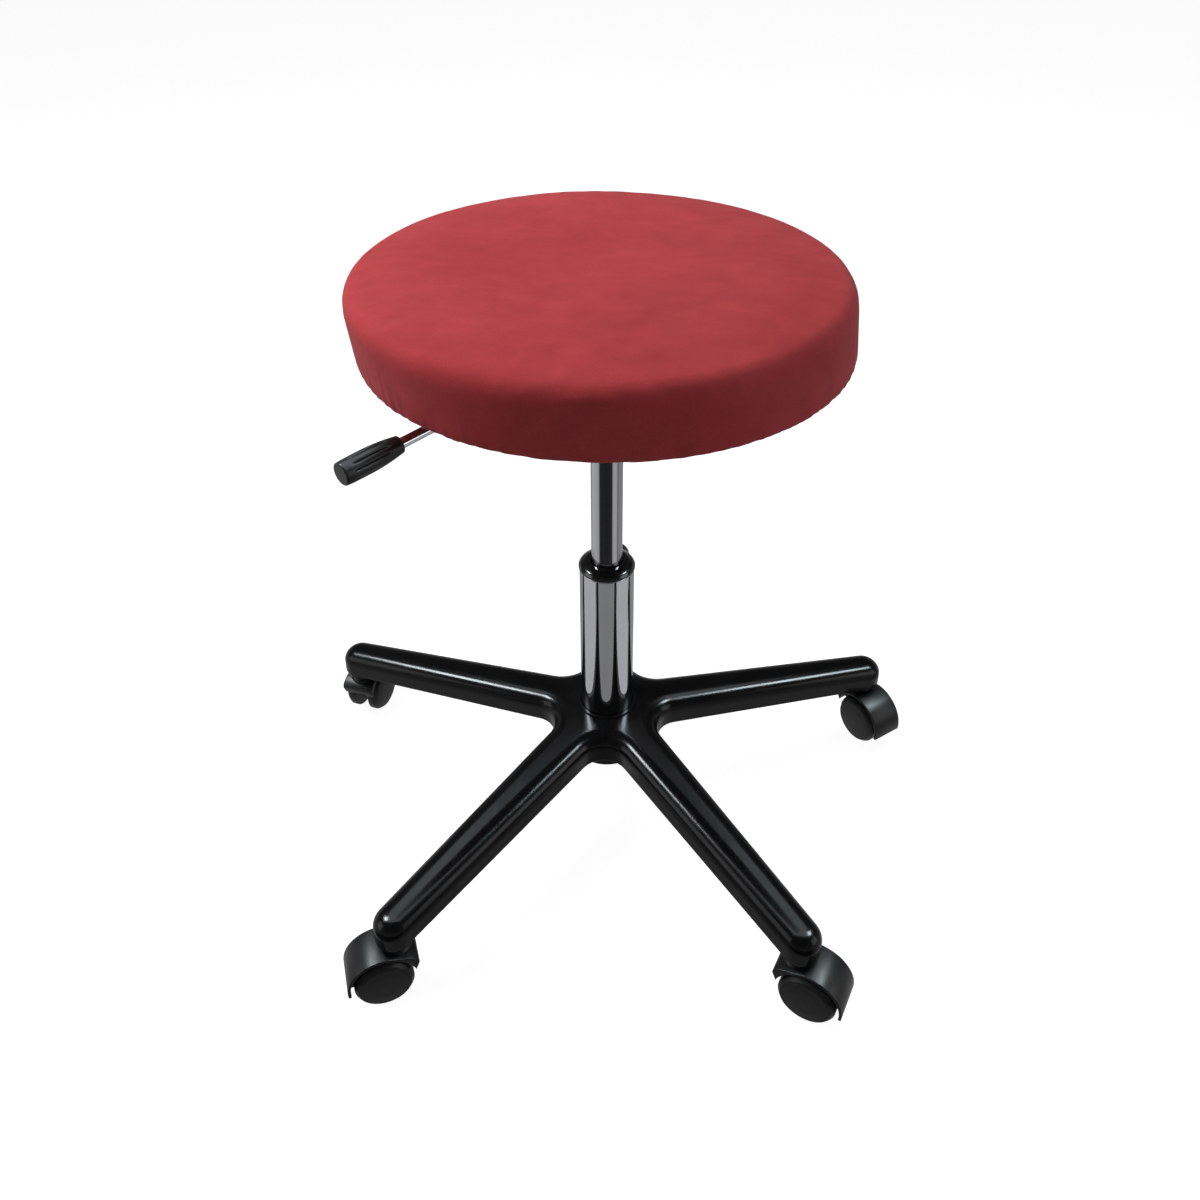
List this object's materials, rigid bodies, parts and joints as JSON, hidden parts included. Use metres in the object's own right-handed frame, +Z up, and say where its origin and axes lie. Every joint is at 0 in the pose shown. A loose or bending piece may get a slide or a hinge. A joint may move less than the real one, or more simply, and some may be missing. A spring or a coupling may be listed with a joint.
{
  "type": "swivel stool",
  "caption": "Backless swivel stool: round padded red seat on a gas lift with a side lever, over a star base on twin-wheel casters.",
  "frame": {"origin": "on the floor, under the middle of the whole stool as stored; the column stands at x -8.9 mm, y -18.0 mm", "axes": "+Z up, +Y from the column towards the back arm of the base, +X to the right seen from the front; the lever is at the front left"},
  "size_m": [0.5926, 0.559, 0.558],
  "materials": {
    "red_cover": "matte deep red microfibre",
    "foam": "open-cell cushion foam",
    "plywood": "unfinished plywood",
    "dust_cloth": "thin black lining",
    "black_base": "satin black with a fine texture",
    "black_plastic": "smooth black",
    "black_caster": "satin black nylon",
    "chrome": "polished",
    "steel": "bright zinc plate",
    "black_steel": "black powder coat",
    "white_nylon": "natural nylon",
    "brass": "plain"
  },
  "bodies": {
    "base": {"base_star": "black_base", "outer_tube": "chrome", "tube_cap": "black_plastic", "guide_bush": "white_nylon", "thrust_race_lower": "steel", "socket_bush_back": "black_plastic", "socket_bush_left": "black_plastic", "socket_bush_front_left": "black_plastic", "socket_bush_front_right": "black_plastic", "socket_bush_right": "black_plastic"},
    "piston": {"piston_rod": "steel", "piston_head": "white_nylon", "thrust_ball_cage": "brass", "thrust_race_upper": "steel", "rod_clip": "steel"},
    "seat": {"gas_cylinder": "chrome", "cylinder_end_bush": "white_nylon", "seat_plate": "black_steel", "seat_board": "plywood", "seat_foam": "foam", "seat_cover": "red_cover", "dust_cover": "dust_cloth", "plate_bolt_1": "steel", "plate_bolt_2": "steel", "plate_bolt_3": "steel", "plate_bolt_4": "steel", "lever_pin": "steel"},
    "lever": {"lever_rod": "chrome", "lever_grip": "black_plastic"},
    "button": {"release_button": "steel"},
    "caster_back": {"caster_hood_back": "black_caster", "caster_stem_back": "steel", "stem_ring_back": "steel", "axle_back": "steel"},
    "wheel_back_a": {"wheel_back_a": "black_caster"},
    "wheel_back_b": {"wheel_back_b": "black_caster"},
    "caster_left": {"caster_hood_left": "black_caster", "caster_stem_left": "steel", "stem_ring_left": "steel", "axle_left": "steel"},
    "wheel_left_a": {"wheel_left_a": "black_caster"},
    "wheel_left_b": {"wheel_left_b": "black_caster"},
    "caster_front_left": {"caster_hood_front_left": "black_caster", "caster_stem_front_left": "steel", "stem_ring_front_left": "steel", "axle_front_left": "steel"},
    "wheel_front_left_a": {"wheel_front_left_a": "black_caster"},
    "wheel_front_left_b": {"wheel_front_left_b": "black_caster"},
    "caster_front_right": {"caster_hood_front_right": "black_caster", "caster_stem_front_right": "steel", "stem_ring_front_right": "steel", "axle_front_right": "steel"},
    "wheel_front_right_a": {"wheel_front_right_a": "black_caster"},
    "wheel_front_right_b": {"wheel_front_right_b": "black_caster"},
    "caster_right": {"caster_hood_right": "black_caster", "caster_stem_right": "steel", "stem_ring_right": "steel", "axle_right": "steel"},
    "wheel_right_a": {"wheel_right_a": "black_caster"},
    "wheel_right_b": {"wheel_right_b": "black_caster"}
  },
  "joints": [
    {"name": "seat_swivel", "type": "hinge", "parent": "base", "child": "piston", "pos_m": [-0.0089, -0.018, 0.065], "axis": [0, 0, 1], "continuous": true},
    {"name": "seat_height", "type": "slide", "parent": "piston", "child": "seat", "axis": [0, 0, 1], "range_m": [-0.15, 0.015]},
    {"name": "lever_tilt", "type": "hinge", "parent": "seat", "child": "lever", "pos_m": [-0.04889, -0.06273, 0.4875], "axis": [-0.7455, 0.6665, 0], "range_deg": [0, 2.4], "stiffness_Nm_per_rad": 6, "springref_deg": -2.86},
    {"name": "button_press", "type": "slide", "parent": "seat", "child": "button", "axis": [0, 0, -1], "range_m": [0, 0.0026]},
    {"name": "caster_swivel_back", "type": "hinge", "parent": "base", "child": "caster_back", "pos_m": [-0.0089, 0.263, 0.0578], "axis": [0, 0, 1], "continuous": true},
    {"name": "wheel_roll_back_a", "type": "hinge", "parent": "caster_back", "child": "wheel_back_a", "pos_m": [-0.0089, 0.249, 0.02462], "axis": [1, 0, 0], "continuous": true},
    {"name": "wheel_roll_back_b", "type": "hinge", "parent": "caster_back", "child": "wheel_back_b", "pos_m": [-0.0089, 0.249, 0.02462], "axis": [1, 0, 0], "continuous": true},
    {"name": "caster_swivel_left", "type": "hinge", "parent": "base", "child": "caster_left", "pos_m": [-0.27615, 0.06883, 0.0578], "axis": [0, 0, 1], "continuous": true},
    {"name": "wheel_roll_left_a", "type": "hinge", "parent": "caster_left", "child": "wheel_left_a", "pos_m": [-0.27252, 0.08236, 0.02462], "axis": [-0.9659, 0.2588, 0], "continuous": true},
    {"name": "wheel_roll_left_b", "type": "hinge", "parent": "caster_left", "child": "wheel_left_b", "pos_m": [-0.27252, 0.08236, 0.02462], "axis": [-0.9659, 0.2588, 0], "continuous": true},
    {"name": "caster_swivel_front_left", "type": "hinge", "parent": "base", "child": "caster_front_left", "pos_m": [-0.17407, -0.24533, 0.0578], "axis": [0, 0, 1], "continuous": true},
    {"name": "wheel_roll_front_left_a", "type": "hinge", "parent": "caster_front_left", "child": "wheel_front_left_a", "pos_m": [-0.18718, -0.25024, 0.02462], "axis": [0.3502, -0.9367, 0], "continuous": true},
    {"name": "wheel_roll_front_left_b", "type": "hinge", "parent": "caster_front_left", "child": "wheel_front_left_b", "pos_m": [-0.18718, -0.25024, 0.02462], "axis": [0.3502, -0.9367, 0], "continuous": true},
    {"name": "caster_swivel_front_right", "type": "hinge", "parent": "base", "child": "caster_front_right", "pos_m": [0.15627, -0.24533, 0.0578], "axis": [0, 0, 1], "continuous": true},
    {"name": "wheel_roll_front_right_a", "type": "hinge", "parent": "caster_front_right", "child": "wheel_front_right_a", "pos_m": [0.1688, -0.25158, 0.02462], "axis": [0.4462, 0.8949, 0], "continuous": true},
    {"name": "wheel_roll_front_right_b", "type": "hinge", "parent": "caster_front_right", "child": "wheel_front_right_b", "pos_m": [0.1688, -0.25158, 0.02462], "axis": [0.4462, 0.8949, 0], "continuous": true},
    {"name": "caster_swivel_right", "type": "hinge", "parent": "base", "child": "caster_right", "pos_m": [0.25835, 0.06883, 0.0578], "axis": [0, 0, 1], "continuous": true},
    {"name": "wheel_roll_right_a", "type": "hinge", "parent": "caster_right", "child": "wheel_right_a", "pos_m": [0.26618, 0.05723, 0.02462], "axis": [0.829, 0.5592, 0], "continuous": true},
    {"name": "wheel_roll_right_b", "type": "hinge", "parent": "caster_right", "child": "wheel_right_b", "pos_m": [0.26618, 0.05723, 0.02462], "axis": [0.829, 0.5592, 0], "continuous": true}
  ],
  "couplings": [
    {"joint": "button_press", "follows": "lever_tilt", "m_per_rad": 0.06}
  ]
}
